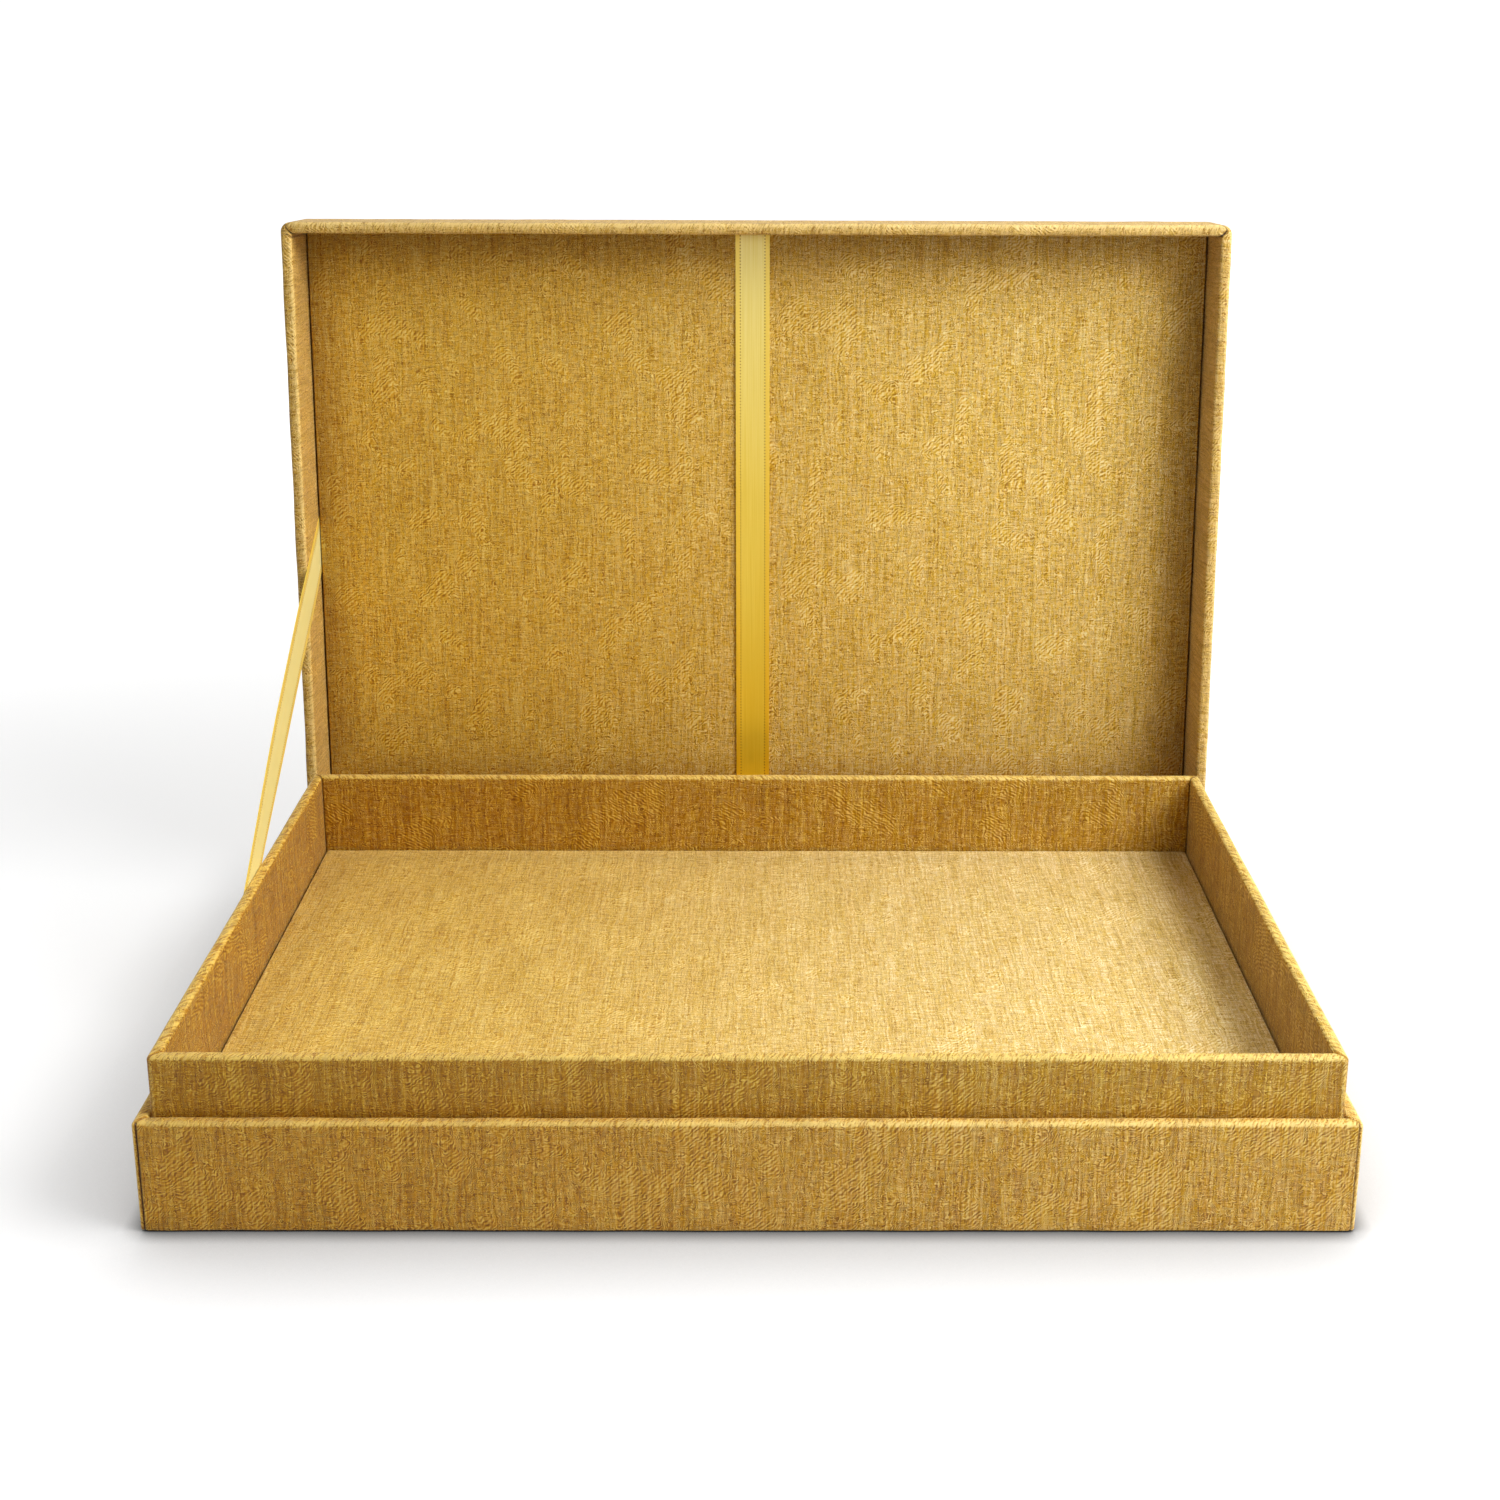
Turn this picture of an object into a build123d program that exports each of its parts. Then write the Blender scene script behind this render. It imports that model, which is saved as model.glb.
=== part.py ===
from build123d import *
import math
import os

# Hinged invitation box of greyboard covered in cloth, standing with its lid open.
# Millimetres. The origin is the middle of the underside of the base.
# X runs left to right, Y from the front wall to the hinge, Z upwards.

# Base tray
box_width = 280.0
box_depth = 181.5
base_rim_height = 28.2

# Greyboard and cloth
wall_board = 2.4
bottom_board = 2.4
neck_board = 2.2
floor_board = 2.0
lid_top_board = 2.4
lining_board = 2.0
riser_board = 2.4
cloth = 0.4

# Ribbons
ribbon_thickness = 0.25
keeper_width = 10.4
stay_width = 10.4

# Neck and floor
neck_stand = 14.7
riser_height = 13.4
riser_inset = 9.0

# Lid
lid_head_room = 3.7
lid_rim_gap = 0.4
lid_open_angle = 93.5

# Where the ribbons go
keeper_off_centre = -1.5
keeper_tail = 14.0
stay_lid_reach = 82.0
stay_base_reach = 100.5
stay_base_tail = 13.0
stay_lid_tail = 12.0

# Clearances
ribbon_slot_play = 0.05
lid_side_clearance = 0.3
lid_swing_clearance = 0.25
panel_gap = 0.3

# Sizes worked out from the ones above
wall = cloth + wall_board + cloth
neck_wall = cloth + neck_board + cloth
ribbon_slot = ribbon_thickness + ribbon_slot_play
back = box_depth / 2
front = -box_depth / 2
half_width = box_width / 2
bottom_top = cloth + bottom_board

neck_half_width = half_width - wall - ribbon_slot
neck_front = front + wall + ribbon_slot
neck_back = back - wall - ribbon_slot
neck_top = base_rim_height + neck_stand
neck_inner_half_width = neck_half_width - neck_wall

riser_top = bottom_top + riser_height
floor_panel = cloth + floor_board + cloth
floor_level = riser_top + floor_panel

# The hinge line lies in the middle of the spine cloth, midway between the two rims
hinge_y = back - cloth / 2
hinge_z = base_rim_height + lid_rim_gap / 2

# The lid's front wall passes the neck's front top edge on its way down
neck_edge_radius = math.hypot(hinge_y - neck_front, neck_top - hinge_z)
lid_inner_front = hinge_y - neck_edge_radius - lid_swing_clearance
lid_front = lid_inner_front - wall
lid_inner_back = back - wall
lid_inner_half_width = neck_half_width + lid_side_clearance
lid_half_width = lid_inner_half_width + wall
lid_rim = base_rim_height + lid_rim_gap
lining_face = neck_top + lid_head_room
lining_panel = cloth + lining_board + cloth
lid_board_face = lining_face + lining_panel + ribbon_slot
lid_board_top = lid_board_face + lid_top_board
lid_height_closed = lid_board_top + cloth


def block(low, high):
    """Box between two opposite corners."""
    size = [b - a for a, b in zip(low, high)]
    return Pos(*low) * Box(*size, align=(Align.MIN, Align.MIN, Align.MIN))


def prism_z(points, z_low, z_high):
    """Upright prism on a plan outline."""
    outline = make_face(Polyline(*points, close=True))
    return Pos(0, 0, z_low) * extrude(outline, z_high - z_low, dir=(0, 0, 1))


def prism_x(points, x_low, x_high):
    """Prism along X on an outline of (y, z) points."""
    outline = make_face(Polyline(*[(x_low, y, z) for y, z in points], close=True))
    return extrude(outline, x_high - x_low, dir=(1, 0, 0))


def bent_strip(path, thickness):
    """Outline of a strip of even thickness whose middle follows the (y, z) path."""
    sides = {1: [], -1: []}
    for side, points in sides.items():
        for i, (y, z) in enumerate(path):
            before = path[max(i - 1, 0)]
            after = path[min(i + 1, len(path) - 1)]
            ahead = math.atan2(after[1] - z, after[0] - y) if i < len(path) - 1 else None
            behind = math.atan2(z - before[1], y - before[0]) if i > 0 else ahead
            ahead = behind if ahead is None else ahead
            middle = (ahead + behind) / 2
            if abs(ahead - behind) > math.pi:
                middle += math.pi
            reach = side * thickness / 2 / math.cos(middle - behind)
            points.append((y - reach * math.sin(middle), z + reach * math.cos(middle)))
    return sides[1] + sides[-1][::-1]


def opened(shape):
    """Turn a shape of the closed lid about the hinge line to where the open lid stands."""
    return shape.rotate(Axis((0, hinge_y, hinge_z), (1, 0, 0)), -lid_open_angle)


def opened_point(y, z):
    """Turn a (y, z) point of the closed lid in the same way."""
    angle = math.radians(-lid_open_angle)
    dy, dz = y - hinge_y, z - hinge_z
    turned_y = dy * math.cos(angle) - dz * math.sin(angle)
    turned_z = dy * math.sin(angle) + dz * math.cos(angle)
    return (hinge_y + turned_y, hinge_z + turned_z)


def wall_boards(x_out, y_front, y_back, board, z_low, z_high):
    """Four boards on edge: the side ones run the full depth, the others stand between them."""
    x_in = x_out - board
    return {
        "left_board": block((-x_out, y_front, z_low), (-x_in, y_back, z_high)),
        "right_board": block((x_in, y_front, z_low), (x_out, y_back, z_high)),
        "front_board": block((-x_in, y_front, z_low), (x_in, y_front + board, z_high)),
        "back_board": block((-x_in, y_back - board, z_low), (x_in, y_back, z_high)),
    }


def cloth_jacket(x_out, y_front, y_back, thick, z_low, z_high, rim_is_high):
    """Cloth over the outside, the rim and the inside of four walls, with the boards' room cut out."""
    x_in, in_front, in_back = x_out - thick, y_front + thick, y_back - thick
    outside = block((-x_out, y_front, z_low), (x_out, y_back, z_high))
    inside = block((-x_in, in_front, z_low), (x_in, in_back, z_high))
    board_low = z_low if rim_is_high else z_low + cloth
    board_high = z_high - cloth if rim_is_high else z_high
    board_out = block(
        (-x_out + cloth, y_front + cloth, board_low), (x_out - cloth, y_back - cloth, board_high)
    )
    board_in = block(
        (-x_in - cloth, in_front - cloth, board_low), (x_in + cloth, in_back + cloth, board_high)
    )
    return outside - inside - (board_out - board_in)


def front_cut(x_out, y_front, thick, z_low, z_high):
    """Room of the front wall's cloth, ending in a mitre at each front corner."""
    x_in = x_out - thick
    inner = y_front + thick
    outline = [(-x_out, y_front), (x_out, y_front), (x_in, inner), (-x_in, inner)]
    return prism_z(outline, z_low, z_high)


def side_cut(side, x_out, y_front, y_back, thick, z_low, z_high, back_mitred):
    """Room of a side wall's cloth. At the hinge it stops against the back board."""
    x_in = x_out - thick
    inner_front, inner_back = y_front + thick, y_back - thick
    outline = [(x_out, y_front), (x_in, inner_front), (x_in, inner_back)]
    if not back_mitred:
        board_line = x_in + cloth
        outline += [(board_line, inner_back), (board_line, y_back)]
    outline += [(x_out, y_back)]
    return prism_z([(side * x, y) for x, y in outline], z_low, z_high)


nodes = {}

# Base: bottom board with four boards standing on it
nodes["base_bottom_cloth"] = block((-half_width, front, 0), (half_width, back, cloth))
nodes["base_bottom_board"] = block(
    (-half_width + cloth, front + cloth, cloth), (half_width - cloth, back - cloth, bottom_top)
)
base_boards = wall_boards(
    half_width - cloth, front + cloth, back - cloth, wall_board, bottom_top, base_rim_height - cloth
)
for name, board in base_boards.items():
    nodes["base_" + name] = board

# Base cloth: outside, over the rim and down the inside, leaving the boards and the bottom free
base_jacket = cloth_jacket(half_width, front, back, wall, cloth, base_rim_height, True)
base_jacket -= nodes["base_bottom_board"]
nodes["base_front_wrap"] = base_jacket & front_cut(half_width, front, wall, 0, base_rim_height)
for label, side in (("left", -1), ("right", 1)):
    cut = side_cut(side, half_width, front, back, wall, 0, base_rim_height, False)
    nodes["base_" + label + "_wrap"] = base_jacket & cut

# Neck: four boards standing inside the base walls, each wrapped in its own cloth
neck_boards = wall_boards(
    neck_half_width - cloth, neck_front + cloth, neck_back - cloth, neck_board,
    bottom_top, neck_top - cloth,
)
for name, board in neck_boards.items():
    nodes["neck_" + name] = board
neck_jacket = cloth_jacket(
    neck_half_width, neck_front, neck_back, neck_wall, bottom_top, neck_top, True
)
neck_front_room = front_cut(neck_half_width, neck_front, neck_wall, bottom_top, neck_top)
nodes["neck_front_wrap"] = neck_jacket & neck_front_room
nodes["neck_back_wrap"] = neck_jacket & neck_front_room.mirror(Plane.XZ)
for label, side in (("left", -1), ("right", 1)):
    cut = side_cut(
        side, neck_half_width, neck_front, neck_back, neck_wall, bottom_top, neck_top, True
    )
    nodes["neck_" + label + "_wrap"] = neck_jacket & cut

# Riser strips on edge under the floor panel
riser_x = neck_inner_half_width - riser_inset
riser_front = neck_front + neck_wall + riser_inset
riser_back = neck_back - neck_wall - riser_inset
risers = wall_boards(riser_x, riser_front, riser_back, riser_board, bottom_top, riser_top)
for name, board in risers.items():
    nodes["riser_" + name.replace("_board", "_strip")] = board
nodes["riser_middle_strip"] = block(
    (-riser_board / 2, riser_front + riser_board, bottom_top),
    (riser_board / 2, riser_back - riser_board, riser_top),
)


def covered_panel(x_out, y_front, y_back, z_low, z_high, face_is_high):
    """A board whose cloth covers its face and edges, and turns in all over the other side."""
    board = block(
        (-x_out + cloth, y_front + cloth, z_low + cloth),
        (x_out - cloth, y_back - cloth, z_high - cloth),
    )
    turn_in = 15.0
    bare_low = z_low if face_is_high else z_high - cloth
    bare = block(
        (-x_out + turn_in, y_front + turn_in, bare_low),
        (x_out - turn_in, y_back - turn_in, bare_low + cloth),
    )
    cover = block((-x_out, y_front, z_low), (x_out, y_back, z_high)) - board - bare
    return board, cover


# Floor panel, resting on the riser strips
floor_x = neck_inner_half_width - panel_gap
nodes["floor_board"], nodes["floor_cloth"] = covered_panel(
    floor_x, neck_front + neck_wall + panel_gap, neck_back - neck_wall - panel_gap,
    riser_top, floor_level, True,
)

# Lid, drawn closed and then opened
closed_lid = {}
closed_lid["lid_top_cloth"] = block(
    (-lid_half_width, lid_front, lid_board_top), (lid_half_width, back, lid_height_closed)
)
closed_lid["lid_top_board"] = block(
    (-lid_half_width + cloth, lid_front + cloth, lid_board_face),
    (lid_half_width - cloth, back - cloth, lid_board_top),
)
lid_boards = wall_boards(
    lid_half_width - cloth, lid_front + cloth, back - cloth, wall_board, lid_rim + cloth,
    lid_board_face,
)
for name, board in lid_boards.items():
    closed_lid["lid_" + name] = board
lid_jacket = cloth_jacket(
    lid_half_width, lid_front, back, wall, lid_rim, lid_board_top, False
)
lid_jacket -= closed_lid["lid_top_board"]
closed_lid["lid_front_wrap"] = lid_jacket & front_cut(
    lid_half_width, lid_front, wall, lid_rim, lid_board_top
)
for label, side in (("left", -1), ("right", 1)):
    cut = side_cut(
        side, lid_half_width, lid_front, back, wall, lid_rim, lid_board_top, False
    )
    closed_lid["lid_" + label + "_wrap"] = lid_jacket & cut

# Lining panel, loose between the lid's walls by the panel gap
lining_x = lid_inner_half_width - panel_gap
lining_front = lid_inner_front + panel_gap
lining_back = lid_inner_back - panel_gap
closed_lid["lining_board"], closed_lid["lining_cloth"] = covered_panel(
    lining_x, lining_front, lining_back, lining_face, lining_face + lining_panel, False
)

# Keeper ribbon: over the lining panel, round its two edges and a little way behind it
ribbon_mid = ribbon_thickness / 2
keeper_face = lining_face - ribbon_mid
keeper_behind = lining_face + lining_panel + ribbon_mid
keeper_path = [
    (lining_front + keeper_tail, keeper_behind),
    (lining_front - ribbon_mid, keeper_behind),
    (lining_front - ribbon_mid, keeper_face),
    (lining_back + ribbon_mid, keeper_face),
    (lining_back + ribbon_mid, keeper_behind),
    (lining_back - keeper_tail, keeper_behind),
]
closed_lid["keeper_ribbon"] = prism_x(
    bent_strip(keeper_path, ribbon_thickness),
    keeper_off_centre - keeper_width / 2,
    keeper_off_centre + keeper_width / 2,
)
for name, shape in closed_lid.items():
    nodes[name] = opened(shape)

# Spine cloth: up the base's back wall, round the hinge line and along the lid's back wall
hinge_half = half_width - cloth - wall_board
spine_end = opened_point(hinge_y, lid_board_top)
spine_path = [(hinge_y, cloth), (hinge_y, hinge_z), spine_end]
nodes["spine_cloth"] = prism_x(bent_strip(spine_path, cloth), -hinge_half, hinge_half)

# Inner hinge cloth: down behind the neck, over the back rim, round the hinge, over the lid's
# back rim and down the inside of the lid's back wall to the lining panel
inner_y = back - wall + cloth / 2
fold_y = hinge_y - cloth
base_rim_mid = base_rim_height - cloth / 2
lid_rim_mid = lid_rim + cloth / 2
fold_rise = cloth * math.tan(math.radians(lid_open_angle) / 2)
inner_path = [
    (inner_y, bottom_top),
    (inner_y, base_rim_mid),
    (fold_y, base_rim_mid),
    opened_point(fold_y, hinge_z - fold_rise),
    opened_point(fold_y, lid_rim_mid),
    opened_point(inner_y, lid_rim_mid),
    opened_point(inner_y, lining_face),
]
nodes["inner_hinge_cloth"] = prism_x(bent_strip(inner_path, cloth), -hinge_half, hinge_half)

# Stay ribbon: flat in the slot plane beside the neck and beside the lining panel.
# It leaves the lid's slot at one reach from the hinge and the base's slot at another.
stay_x = -neck_half_width - ribbon_slot / 2
lid_slot = opened_point(hinge_y - stay_lid_reach, lining_face)
base_slot = (hinge_y - stay_base_reach, base_rim_height)
slope = math.atan2(lid_slot[1] - base_slot[1], lid_slot[0] - base_slot[0])
along = (math.cos(slope), math.sin(slope))
across = (-math.sin(slope) * stay_width / 2, math.cos(slope) * stay_width / 2)


def stay_line(side):
    """One edge of the ribbon as a point and the two places where its tails end."""
    y = base_slot[0] + side * across[0]
    z = base_slot[1] + side * across[1]
    down = (base_rim_height - stay_base_tail - z) / along[1]
    tail_low = (y + down * along[0], z + down * along[1])
    lid_back = [opened_point(hinge_y - reach, lid_board_face) for reach in (0, stay_lid_reach)]
    back_run = (lid_back[1][0] - lid_back[0][0], lid_back[1][1] - lid_back[0][1])
    cross = along[0] * back_run[1] - along[1] * back_run[0]
    offset = (lid_back[0][0] - y, lid_back[0][1] - z)
    up = (offset[0] * back_run[1] - offset[1] * back_run[0]) / cross
    tail_high = (y + up * along[0], z + up * along[1])
    return tail_low, tail_high


upper_edge, lower_edge = stay_line(1), stay_line(-1)
stay_band = prism_x(
    [lower_edge[0], lower_edge[1], upper_edge[1], upper_edge[0]],
    stay_x - ribbon_mid,
    stay_x + ribbon_mid,
)

# The lid end of the stay ribbon turns in behind the lining panel
stay_ends = [math.dist((hinge_y, hinge_z), edge[1]) for edge in (lower_edge, upper_edge)]
tail_reach = [math.sqrt(end ** 2 - (lid_board_face - hinge_z) ** 2) for end in stay_ends]
stay_tail = opened(
    block(
        (stay_x - ribbon_mid, hinge_y - max(tail_reach), lid_board_face - ribbon_thickness),
        (stay_x + stay_lid_tail, hinge_y - min(tail_reach), lid_board_face),
    )
)
nodes["stay_ribbon"] = stay_band + stay_tail

os.makedirs("parts", exist_ok=True)
for name, shape in nodes.items():
    export_step(shape, "parts/" + name + ".step")

print("floor level", round(floor_level, 2), "neck top", round(neck_top, 2))
print("closed height", round(lid_height_closed, 2), "lid overhang", round(front - lid_front, 3))
print("ribbon slope", round(math.degrees(slope), 2), "nodes", len(nodes))
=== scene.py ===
import math

import bpy
import numpy as np
from mathutils import Matrix, Vector


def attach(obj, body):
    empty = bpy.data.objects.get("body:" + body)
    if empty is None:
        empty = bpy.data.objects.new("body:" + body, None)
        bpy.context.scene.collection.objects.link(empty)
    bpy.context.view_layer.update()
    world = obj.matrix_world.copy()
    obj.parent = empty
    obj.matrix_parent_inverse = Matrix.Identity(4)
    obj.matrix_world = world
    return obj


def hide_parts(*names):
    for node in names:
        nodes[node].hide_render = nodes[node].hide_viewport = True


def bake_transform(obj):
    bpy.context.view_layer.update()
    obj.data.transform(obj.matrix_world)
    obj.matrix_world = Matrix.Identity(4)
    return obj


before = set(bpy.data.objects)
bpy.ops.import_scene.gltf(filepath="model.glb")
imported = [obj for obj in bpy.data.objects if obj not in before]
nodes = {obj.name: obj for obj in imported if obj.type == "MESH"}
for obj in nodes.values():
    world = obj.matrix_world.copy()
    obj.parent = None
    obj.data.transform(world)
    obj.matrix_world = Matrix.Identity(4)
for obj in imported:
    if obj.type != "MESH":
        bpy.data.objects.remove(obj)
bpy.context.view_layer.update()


# ---------------------------------------------------------------------------
# Greyboard: the cut boards of the base, the neck, the floor and the lid, glued edge to edge, and the
# strips on edge that carry the floor. Millboard from waste paper, grey-brown with darker and paler fibres.
# ---------------------------------------------------------------------------
def tone(red, green, blue):
    """A colour in the 0 to 255 of a paint chart, as the shader counts it."""
    shares = [x / 255 for x in (red, green, blue)]
    return [s / 12.92 if s < 0.04045 else ((s + 0.055) / 1.055) ** 2.4 for s in shares] + [1.0]


def add(tree, kind, settings=(), sockets=()):
    """One shader node with its settings, and its sockets given a value or linked to another's output."""
    made = tree.nodes.new("ShaderNode" + kind)
    for key, value in dict(settings).items():
        setattr(made, key, value)
    for key, value in dict(sockets).items():
        if isinstance(value, bpy.types.NodeSocket):
            tree.links.new(value, made.inputs[key])
        else:
            made.inputs[key].default_value = value
    return made


def calc(tree, operation, *values):
    """The outcome of one sum on shader values."""
    return add(tree, "Math", {"operation": operation}, dict(enumerate(values))).outputs[0]


def ramp(tree, value, *stops):
    """The colour at a value between stops of (position, colour)."""
    made = add(tree, "ValToRGB", {}, {"Fac": value})
    ends = made.color_ramp.elements
    ends[0].position, ends[0].color = stops[0]
    ends[1].position, ends[1].color = stops[-1]
    for position, colour in stops[1:-1]:
        ends.new(position).color = colour
    return made.outputs["Color"]


def new_finish(name):
    """An empty material and its node tree."""
    finish = bpy.data.materials.new(name)
    finish.use_nodes = True
    finish.node_tree.nodes.clear()
    return finish, finish.node_tree


def show(tree, shader):
    add(tree, "OutputMaterial", {}, {"Surface": shader.outputs[0]})


greyboard, tree = new_finish("greyboard")
where = add(tree, "TexCoord").outputs["Object"]
pulp = add(tree, "TexNoise", {}, {"Vector": where, "Scale": 420.0, "Detail": 4.0}).outputs["Fac"]
fibres = add(tree, "TexNoise", {}, {"Vector": where, "Scale": 1900.0, "Detail": 2.0}).outputs["Fac"]
mottle = calc(tree, "MULTIPLY_ADD", fibres, 0.6, pulp)
nap = add(tree, "Bump", {}, {"Strength": 0.5, "Distance": 0.0002, "Height": mottle})
show(tree, add(tree, "BsdfPrincipled", {}, {
    "Base Color": ramp(tree, mottle, (0.55, tone(104, 92, 76)), (1.0, tone(160, 147, 126))),
    "Roughness": 0.9, "Specular IOR Level": 0.2, "Normal": nap.outputs["Normal"],
}))

for name, node in nodes.items():
    if name.endswith(("_board", "_strip")):
        node.data.materials.clear()
        node.data.materials.append(greyboard)


# ---------------------------------------------------------------------------
# Base cloth: three cuts of ochre slub silk backed with paper, glued round the front and the two sides.
# Each is turned in under the bottom, pulled up over the rim and down the inside. The side cuts lap round
# the front corners to a seam on the front, and the rims meet in mitred folds.
# ---------------------------------------------------------------------------
base_half_width = 140.0
base_half_depth = 90.75
base_rim = 28.2
base_wall = 3.2
base_bottom = 0.2
tray_floor = 2.8
cloth = 0.4
cloth_below = 0.2
turned_under = 12
rim_round = 1.0
corner_round = 1.0
hinge_reach = 2.8


def rounded_path(corners, radii, longest=3.0, turns=5):
    """Stations along a bent line, its turns rounded: places, normals to its left, and lengths so far."""
    corners = [np.array(c, float) for c in corners]
    keys, normals = [corners[0]], []
    first = corners[1] - corners[0]
    first /= np.linalg.norm(first)
    normals.append(np.array([-first[1], first[0]]))
    for i in range(1, len(corners) - 1):
        into = corners[i] - corners[i - 1]
        away = corners[i + 1] - corners[i]
        into, away = into / np.linalg.norm(into), away / np.linalg.norm(away)
        bend = math.atan2(into[0] * away[1] - into[1] * away[0], float(into @ away))
        radius = radii[i - 1]
        side = math.copysign(1.0, bend)
        left = np.array([-into[1], into[0]])
        start = corners[i] - into * radius * abs(math.tan(bend / 2))
        centre = start + left * side * radius
        for k in range(turns + 1):
            a = bend * k / turns
            c, s = math.cos(a), math.sin(a)
            turned = np.array([left[0] * c - left[1] * s, left[0] * s + left[1] * c])
            keys.append(centre - turned * side * radius)
            normals.append(turned)
    keys.append(corners[-1])
    normals.append(normals[-1])
    places, outs = [keys[0]], [normals[0]]
    for a, b, na, nb in zip(keys, keys[1:], normals, normals[1:]):
        steps = max(1, math.ceil(np.linalg.norm(b - a) / longest))
        for k in range(1, steps + 1):
            places.append(a + (b - a) * k / steps)
            outs.append(na + (nb - na) * k / steps)
    places, outs = np.array(places), np.array(outs)
    lengths = np.concatenate([[0], np.cumsum(np.linalg.norm(np.diff(places, axis=0), axis=1))])
    return places, outs, lengths


def waves(s, t, seed, long=26.0):
    """Slow unevenness of glued cloth, between -1 and 1, at a place s across and t along its threads."""
    luck = np.random.RandomState(seed)
    total = 0.0
    for _ in range(6):
        angle = luck.uniform(0, math.pi)
        turns = 2 * math.pi / (long * luck.uniform(0.4, 1.5))
        total = total + np.sin((s * math.cos(angle) + t * math.sin(angle)) * turns + luck.uniform(0, 6.28))
    return total / 4


def soft_step(x):
    x = np.clip(x, 0, 1)
    return x * x * (3 - 2 * x)


def bent(normal, along, reach=0.38):
    """How sharply the cloth bends close to each row: 0 on flat board, 1 along a rounded edge."""
    step = np.arccos(np.clip((normal[1:] * normal[:-1]).sum(-1), -1, 1)) / 2
    turn = np.zeros(normal.shape[:2])
    turn[1:] += step
    turn[:-1] += step
    near = np.exp(-((along[:, None] - along[None, :]) / reach) ** 2)
    return np.clip(near @ turn / 0.7, 0, 1)


def cloth_piece(name, face, normal, thick, s, t, finish, loop=False, cap=None, seed=0, wear_and_painted_light=0.0):
    """A sheet from the grid of its face in millimetres: the back one thickness behind, the cut edges closed,
    and each point marked with its place across and along the threads and how much paler or darker its colour
    is painted, as wear, painted highlight and painted shade."""
    rows, cols = face.shape[:2]
    count = rows * cols
    index = np.arange(count).reshape(rows, cols)
    across = np.concatenate([index, index[:, :1]], axis=1) if loop else index
    quads = np.stack([across[:-1, :-1], across[1:, :-1], across[1:, 1:], across[:-1, 1:]], -1).reshape(-1, 4)
    if loop:
        rings = [across[0], across[-1][::-1]]
    else:
        rings = [np.concatenate([index[0], index[1:, -1], index[-1, -2::-1], index[-2::-1, 0]])]
    faces = [list(q) for q in quads] + [list(q[::-1] + count) for q in quads]
    if cap == "first":
        faces += [list(index[0]), list(index[0][::-1] + count)]
        rings = rings[1:]
    if cap == "last":
        faces += [list(index[-1][::-1]), list(index[-1] + count)]
        rings = rings[:1]
    for ring in rings:
        faces += [[a, b, b + count, a + count] for a, b in zip(ring, ring[1:])]
    back = face - normal * np.broadcast_to(np.asarray(thick, float), (rows,))[:, None, None]
    points = np.concatenate([face.reshape(-1, 3), back.reshape(-1, 3)]) * 0.001
    a, b, c = points[quads[:, 0]], points[quads[:, 1]], points[quads[:, 2]]
    if (np.cross(b - a, c - a) * normal.reshape(-1, 3)[quads[:, 0]]).sum() < 0:
        faces = [f[::-1] for f in faces]
    mesh = bpy.data.meshes.new(name)
    mesh.from_pydata(points.tolist(), [], [[int(i) for i in f] for f in faces])
    mesh.shade_smooth()
    mesh.set_sharp_from_angle(angle=math.radians(48))
    mark = mesh.attributes.new("cloth", "FLOAT_VECTOR", "POINT")
    place = np.stack([s + 400 * seed, t + 170 * seed, wear_and_painted_light + np.zeros_like(s)], -1).reshape(-1, 3)
    mark.data.foreach_set("vector", np.concatenate([place, place]).astype(np.float32).ravel())
    mesh.materials.append(finish)
    piece = bpy.data.objects.new(name, mesh)
    bpy.context.scene.collection.objects.link(piece)
    return piece


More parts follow.
